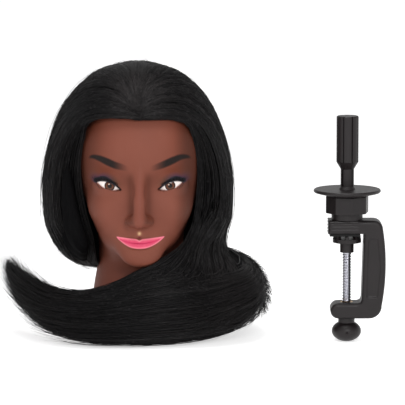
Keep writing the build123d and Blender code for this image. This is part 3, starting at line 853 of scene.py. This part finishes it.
def swept_hair(count, table, enter, high, low, finish, sign=0):
    """Strands that fall and then join the swept length, where and how high in it being set by u."""
    u, own = locks(count, LOCKS, 0.010)
    if sign:
        u = u**1.4
    depth = RNG.uniform(0, 1, count) ** 1.5 * 4.5 + 0.4
    upper = rails(u, table)
    if sign:
        upper = edge_depth(upper, u, sign)
    upper = onto_envelope(upper, depth, u, 0)
    s0 = enter(u)
    s1 = finish(RNG.uniform(0, 1, LOCKS)[own], RNG.uniform(0, 1, count))
    up = high(u) + (low(u) - high(u)) * RNG.uniform(0, 1, LOCKS)[own] + RNG.normal(0, 0.05, count)
    up = np.clip(up, -0.97, 1.2)
    room = np.sqrt(np.maximum(1 - up**2, 0.1))
    outer = RNG.uniform(0, 1, count) < 0.8
    across = room * np.where(outer, 1 - 0.22 * RNG.uniform(0, 1, count), -1 + 0.5 * RNG.uniform(0, 1, count))
    loose = 0.45 + 0.55 * ease(5.5, 9, s1)[:, None]
    stray = loose * np.clip(RNG.normal(0, 1, (count, 3)), -1.8, 1.8)
    stray = stray * np.array([6.0, 6.0, 6.5]) * RNG.uniform(0.2, 1.4, (count, 1))
    pieces = []
    for k in range(8):
        s = s0 + (s1 - s0) * k / 7
        sag = up - 0.10 * np.sin(np.pi * k / 7) * RNG.uniform(0.2, 1.0, count)
        sag = np.where(sag > 0.97, 0.97 + (sag - 0.97) * (1 - k / 7) ** 2, sag)
        point = sweep_points(s, across, np.maximum(sag, -0.97)) + stray * (k / 7) ** 4
        point[:, 2] = np.maximum(point[:, 2], 1.4)
        pieces.append(point)
    control = np.concatenate([upper, np.stack(pieces, 1)], 1)
    start = roots(count, u, 0.13)
    t = start[:, None] + (1 - start)[:, None] * np.linspace(0, 1, HAIR_SAMPLES + 6)[None, :]
    paths = wander(spline(control, t), np.full(count, 1.5))
    falling = t * (control.shape[1] - 1) < len(table[0]) - 2
    laid = onto_envelope(paths, depth, u, 1)
    return np.where(falling[..., None], laid, paths), u


def frayed_ends(count, first, last, spill, droop):
    """Short strands that leave the swept length at a slant, so that its outline frays."""
    s0 = RNG.uniform(first, last, count)
    angle = RNG.uniform(-0.17 * np.pi, 0.36 * np.pi, count) + np.pi * (RNG.uniform(0, 1, count) < spill)
    reach = RNG.uniform(0.7, 1.3, count)
    control = []
    for k in range(6):
        flare = 0.86 + 0.0095 * k**2 * reach
        s = np.minimum(s0 + 0.2 * k * reach, len(SWEEP) - 1.0)
        point = sweep_points(s, np.cos(angle) * flare, np.sin(angle) * flare)
        point[:, 2] -= droop * (k / 5) ** 2 * reach
        control.append(point)
    t = np.broadcast_to(np.linspace(0, 1, 14), (count, 14))
    paths = wander(spline(np.stack(control, 1), t), np.full(count, 1.0), waves=3)
    paths[:, :, 2] = np.maximum(paths[:, :, 2], LOWEST_HAIR)
    return paths


def hair_material():
    material, g = new_material("black_hair")
    tone = g.attribute("tone")
    colour = g.mix(tone, rgb(5, 5, 6), rgb(30, 27, 27))
    # painted sheen where it is combed up from the hairline over the top, greyer where it bulges round the neck,
    # painted shade on the upper left, and darker low at the front and beside the face on the right
    for centre, inner, outer, amount, grey in (
            ((-3, -62, 284), 8, 52, 0.75, rgb(66, 62, 62)), ((96, -40, 60), 15, 66, 0.8, rgb(52, 49, 49)),
            ((-62, -50, 268), 12, 52, 0.8, rgb(3, 3, 4)), ((-25, -95, 40), 20, 80, 0.7, rgb(3, 3, 4)),
            ((66, -52, 172), 12, 46, 0.7, rgb(3, 3, 4))):
        light_and_shade_patch = g.times(g.near(centre, inner, outer), amount)
        colour = g.mix(g.times(light_and_shade_patch, g.math("MULTIPLY_ADD", tone, 1.5, 0.05, clamp=True)), colour, grey)
    streaks = g.noise(60, 2.0, stretch=(6, 6, 1))
    colour = g.mix(g.times(streaks, 0.5), colour, rgb(22, 21, 22))
    # the crimp catches the light in small grey specks
    specks = g.ramp(g.noise(520, 1.0, stretch=(1, 1, 0.7)), 0.56, 0.72)
    g.into("Base Color", g.mix(g.times(specks, 0.55), colour, rgb(52, 50, 51)))
    g.into("Roughness", g.math("MULTIPLY_ADD", tone, 0.12, 0.36))
    g.into("Specular IOR Level", 0.13)
    return material


def depth_material():
    """The unlit depth between the strands."""
    material, g = new_material("hair_depth")
    g.into("Base Color", g.mix(g.noise(90, 2.0, stretch=(6, 6, 1)), rgb(4, 4, 5), rgb(12, 11, 12)))
    g.into("Roughness", 0.9)
    g.into("Specular IOR Level", 0.05)
    return material


def add_fuzz(pieces, name, paths, count):
    """Short fine hairs that stray from the strands and blur the outline."""
    n, m, _ = paths.shape
    length = 9
    own = RNG.integers(0, n, count)
    first = RNG.integers(2, m - length, count)
    rows = first[:, None] + np.arange(length)[None, :]
    short = paths[own[:, None], rows].copy()
    t = np.linspace(0, 1, length)[None, :, None]
    lift = np.clip(RNG.normal(0, 1, (count, 1, 3)), -1.5, 1.5) * RNG.uniform(0.8, 3.2, (count, 1, 1))
    short += lift * np.sin(np.pi * t * RNG.uniform(0.4, 1.0, (count, 1, 1)))
    short = wander(short, np.full(count, 1.2))
    short[:, :, 2] = np.maximum(short[:, :, 2], LOWEST_HAIR)
    pieces.append(strand_mesh(name + "_stray", short, RNG.uniform(0.22, 0.4, count), RNG.uniform(0.2, 0.9, count)))


def make_hair():
    strands, depth = hair_material(), depth_material()
    base, sweep = make_cap(), make_sweep_base()
    pieces, made_paths = [], {}

    def add(name, made, low=0.55, high=1.05):
        paths, _ = made
        made_paths[name] = paths
        paths[:, :, 2] = np.maximum(paths[:, :, 2], LOWEST_HAIR)
        count = len(paths)
        width = RNG.uniform(low, high, count)
        tone = np.clip(RNG.beta(1.6, 2.6, count), 0, 1)
        for letter, part in zip("abc", np.array_split(np.arange(count), math.ceil(count / LONGEST_PIECE))):
            pieces.append(strand_mesh(name + "_" + letter, paths[part], width[part], tone[part]))

    add("hair_fall_left", left_hair(LEFT_STRANDS))
    add("hair_fall_right", swept_hair(
        RIGHT_STRANDS, RIGHT_RAILS,
        enter=lambda u: 6.9 - 3.1 * u**0.8,
        high=lambda u: 1.2 - 1.0 * u**0.7, low=lambda u: 1.0 - 1.7 * u**0.7,
        finish=lambda lock, own: 10.6 + 2.7 * lock**0.7 - 1.5 * own**2, sign=1))
    add("hair_fall_back", swept_hair(
        BACK_STRANDS, BACK_RAILS,
        enter=lambda u: 1.2 + 2.0 * u,
        high=lambda u: 0.75 - 0.2 * u, low=lambda u: -0.85 - 0.1 * u,
        finish=lambda lock, own: np.where(lock < 0.2, 4.3 + 8 * lock, 7.0 + 6.2 * lock**0.45) - 1.4 * own**2))
    for name, paths in made_paths.items():
        add_fuzz(pieces, name, paths, STRAYS)
    bend = frayed_ends(BEND_FRAYS, 2.4, 5.6, 0.0, 7)
    tail = frayed_ends(TAIL_FRAYS, 10.2, 12.6, 0.5, 1)
    for name, paths in (("bend", bend), ("tail", tail)):
        width = RNG.uniform(0.25, 0.55, len(paths))
        pieces.append(strand_mesh("hair_frayed_" + name, paths, width, RNG.uniform(0.2, 0.9, len(paths))))
    for obj in pieces + [base, sweep]:
        obj.data.materials.append(strands if obj in pieces else depth)
        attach(obj, "head")
    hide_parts("hair_crown", "hair_left", "hair_right", "hair_back")
    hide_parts("hair_nape_sweep", "hair_front_sweep")


# ---- the clamp
CLAMP = np.array([225.0, -40.0, 0.0])
JAW_HALF_DEPTH = 15
THREAD_PITCH, THREAD_R, THREAD_DEPTH = 3.0, 5.0, 0.9
INSERT_R = 6.8


def arc(a, b, c, count):
    """Points on the circle through a, b and c, from a to c, in a plane."""
    (ax, ay), (bx, by), (cx, cy) = a, b, c
    d = 2 * (ax * (by - cy) + bx * (cy - ay) + cx * (ay - by))
    ux = ((ax**2 + ay**2) * (by - cy) + (bx**2 + by**2) * (cy - ay) + (cx**2 + cy**2) * (ay - by)) / d
    uy = ((ax**2 + ay**2) * (cx - bx) + (bx**2 + by**2) * (ax - cx) + (cx**2 + cy**2) * (bx - ax)) / d
    angles = np.unwrap([math.atan2(y - uy, x - ux) for x, y in (a, b, c)])
    r = math.hypot(ax - ux, ay - uy)
    t = np.linspace(angles[0], angles[2], count)
    return [(ux + r * math.cos(q), uy + r * math.sin(q)) for q in t]


CLAMP_OUTLINE = np.array(
    [(-9.5, 43), (12, 43), (14.6, 44.2), (15.8, 47), (18, 119), (-21, 119), (-21, 134), (29.5, 134)]
    + arc((29.5, 134), (36, 131), (38.9, 124), 6)[1:]
    + arc((38.9, 124), (42, 80), (38, 40), 14)[1:]
    + arc((38, 40), (34, 30), (24, 26), 8)[1:]
    + arc((-9.5, 26), (-18, 34.5), (-9.5, 43), 14)[:-1])

SPINE_PANEL = np.array([(21.5, 50), (23, 114), (33, 114), (36, 82), (33, 50)])


def clamp_field(p):
    """The C-shaped frame, with softened edges and ribs round its upper jaw."""
    x, y, z = (p - CLAMP).T
    ay = np.abs(y)
    f = smooth_max(polygon_distance(x, z, CLAMP_OUTLINE), ay - JAW_HALF_DEPTH, 4.5)
    rib = np.cos((z - 126.5) * 2 * math.pi / 3.6)
    on_jaw = ease(16, 10, x) * ease(119.5, 121, z) * ease(133.5, 132, z)
    f = f + 0.45 * on_jaw * (1 - rib) / 2
    # a shallow panel in each side of the spine
    panel = np.maximum(polygon_distance(x, z, SPINE_PANEL), 13.9 - ay)
    f = smooth_max(f, -panel, 1.2)
    return np.maximum(f, INSERT_R + 0.05 - np.hypot(x, y) - 50 * (z > 60))


def make_clamp_frame():
    low, high = CLAMP + (-23, -17, 24), CLAMP + (45, 17, 136)
    points, quads = surface_net(clamp_field, low, high, 1.1)
    points = newton(clamp_field, points, 4, 0.15, 0.8)
    points = relax(points, quads, clamp_field, 2, 0.35)
    return add_mesh("clamp_c_frame", points, quads)


def make_screw():
    """The threaded spindle, with a plain foot in the knob and a plain tip in the pad's cup."""
    low, high = 6.5, 101.0
    rows, sides = 300, 40
    z = np.linspace(low, high, rows)
    around = np.linspace(0, 2 * math.pi, sides, endpoint=False)
    zz, tt = np.meshgrid(z, around, indexing="ij")
    turn = (zz / THREAD_PITCH - tt / (2 * math.pi)) % 1
    groove = ease(0.12, 0.34, turn) * ease(0.88, 0.66, turn)
    cut = ease(24, 27, zz) * ease(98, 95, zz)
    r = THREAD_R - 0.06 - THREAD_DEPTH * groove * cut - 0.6 * ease(high - 1, high, zz)
    points = np.stack([r * np.cos(tt), r * np.sin(tt), zz], -1).reshape(-1, 3) + CLAMP
    return closed_tube("screw_thread", points, rows, sides, back_first=True)


def worn_material(name, dark, light, roughness, spread, metallic=0.0, grain=900, depth=0.00012, specular=0.5):
    """Colour that varies in soft clouds, with a fine surface grain."""
    material, g = new_material(name)
    g.into("Base Color", g.mix(g.noise(38, 4.0, 0.6), rgb(*dark), rgb(*light)))
    g.into("Roughness", g.math("MULTIPLY_ADD", g.noise(210), spread, roughness))
    g.bump(g.noise(grain, 4.0, 0.6), 0.3, depth)
    g.into("Metallic", metallic)
    g.into("Specular IOR Level", specular)
    return material


def worn_metal(name, dark, light, roughness, spread, depth=0.00006):
    return worn_material(name, dark, light, roughness, spread, metallic=1.0, depth=depth)


def finish_clamp():
    plastic = worn_material("moulded_black_plastic", (17, 13, 14), (28, 22, 23), 0.36, 0.16, specular=0.3)
    rubber = worn_material("soft_black_rubber", (14, 14, 14), (27, 26, 26), 0.72, 0.15,
                           grain=1400, depth=0.0003, specular=0.2)
    brass = worn_metal("turned_brass", (168, 128, 62), (206, 166, 96), 0.24, 0.15, depth=0.00004)
    chrome = worn_metal("bright_chrome", (150, 149, 158), (196, 196, 204), 0.12, 0.12, depth=0.00003)
    zinc = worn_metal("zinc_plate", (142, 146, 150), (182, 186, 192), 0.3, 0.2)
    dark_steel = worn_metal("blackened_steel", (38, 35, 36), (56, 52, 53), 0.42, 0.15)
    plug = worn_material("grey_plug_plastic", (70, 48, 42), (92, 64, 56), 0.5, 0.15)
    finishes = {
        plastic: ("lock_ring", "swivel_hub", "base_disc", "head_post", "knob", "pad_boss", "pressure_pad"),
        dark_steel: ("knob_pin",),
        rubber: ("jaw_pad",),
        brass: ("thread_insert",),
        zinc: ("post_bolt", "bolt_washer", "pad_clip"),
        plug: ("neck_plug", "socket_tube", "socket_cap"),
    }
    for material, names in finishes.items():
        for name in names:
            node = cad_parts[name]
            node.data.materials.clear()
            node.data.materials.append(material)
    body = make_clamp_frame()
    body.data.materials.append(plastic)
    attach(body, "clamp")
    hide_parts("clamp_frame")
    screw = make_screw()
    screw.data.materials.append(chrome)
    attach(screw, "screw")
    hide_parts("clamp_screw")


def make_lashes(material):
    """Fine lashes along each upper lid, longer toward the outer corner."""
    for name, side in (("left", -1), ("right", 1)):
        count, m = 60, 9
        t = np.linspace(-0.86, 0.96, count) + RNG.normal(0, 0.008, count)
        u = t * EYE_HALF_LENGTH
        v = lid_edge(t) + 0.3
        c, s = math.cos(EYE_SLANT), math.sin(EYE_SLANT)
        root = np.stack([side * (EYE[0] + c * u - s * v), np.full(count, -84.0), EYE[2] + s * u + c * v], 1)
        for _ in range(12):
            root[:, 1] += np.clip(-head_field(root), -2, 2) * -0.8
        reach = (3.2 + 3.4 * ease(-0.9, 0.8, t)) * RNG.uniform(0.85, 1.1, count)
        w = np.linspace(0, 1, m)[None, :]
        fan = side * (0.15 + 0.75 * t)
        paths = np.stack([
            root[:, :1] + (fan * reach)[:, None] * w,
            root[:, 1:2] - reach[:, None] * (0.95 * w - 0.35 * w**2),
            root[:, 2:] + reach[:, None] * (0.05 * w + 0.75 * w**2)], -1)
        paths[:, 0, 1] += 0.4
        lash = strand_mesh("lashes_" + name, paths, np.full(count, 0.34), RNG.uniform(0, 0.4, count))
        lash.data.materials.append(material)
        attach(lash, "head")
        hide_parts("eyelash_" + name)


# ---- stage
FLOOR_HALF, FLOOR_Z = 6000, -0.4


def make_stage():
    corners = [(-1, -1), (1, -1), (1, 1), (-1, 1)]
    floor = add_mesh("floor", [(x * FLOOR_HALF, y * FLOOR_HALF, FLOOR_Z) for x, y in corners], [(0, 1, 2, 3)])
    material, g = new_material("pale_floor")
    for socket, value in (
            ("Base Color", (0.84, 0.84, 0.84, 1)), ("Roughness", 0.7),
            ("Emission Color", (1, 1, 1, 1)), ("Emission Strength", 0.6)):
        g.into(socket, value)
    floor.data.materials.append(material)
    world = bpy.data.worlds.new("studio")
    bpy.context.scene.world = world
    world.use_nodes = True
    g = Graph(world.node_tree)
    split = g.nodes.new("ShaderNodeSeparateXYZ")
    g.feed(split.inputs[0], g.nodes.new("ShaderNodeTexCoord").outputs["Generated"])
    # white round the horizon, softer overhead
    sky = g.mix(g.ramp(split.outputs["Z"], 0.16, 0.55), (1, 1, 1, 1), (0.42, 0.42, 0.42, 1))
    g.feed(g.nodes["Background"].inputs[0], sky)


def aim(obj, target):
    direction = np.array(target) - np.array(obj.location)
    obj.rotation_euler = Vector(direction).to_track_quat("-Z", "Y").to_euler()


def add_light(name, place, size, watts, target=(0.05, 0, 0.16)):
    data = bpy.data.lights.new(name, "AREA")
    data.shape = "RECTANGLE"
    data.size, data.size_y = size
    data.energy = watts
    light = bpy.data.objects.new(name, data)
    light.location = place
    aim(light, target)
    bpy.context.scene.collection.objects.link(light)


def make_camera():
    elevation, distance = math.radians(8), 3.6
    sensor, frame_width = 36, 0.4455
    target = np.array([0.0677, 0.0, 0.1465])
    data = bpy.data.cameras.new("camera")
    data.sensor_width = sensor
    data.lens = sensor * distance / frame_width
    camera = bpy.data.objects.new("camera", data)
    camera.location = target + distance * np.array([0, -math.cos(elevation), math.sin(elevation)])
    aim(camera, target)
    bpy.context.scene.collection.objects.link(camera)
    bpy.context.scene.camera = camera
    bpy.context.scene.view_settings.view_transform = "Standard"


make_camera()
make_stage()
add_light("key", (0.45, -2.0, 1.1), (0.5, 0.5), 17)
add_light("fill", (-1.2, -1.5, 0.7), (1.0, 1.0), 3)
add_light("top", (0.0, -0.3, 1.5), (0.9, 0.7), 10)

head = sculpt_head()
paint_head(head)
head.data.materials.append(skin_material())
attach(head, "head")
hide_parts("head_skin")
make_lashes(hair_material())
make_hair()
finish_clamp()
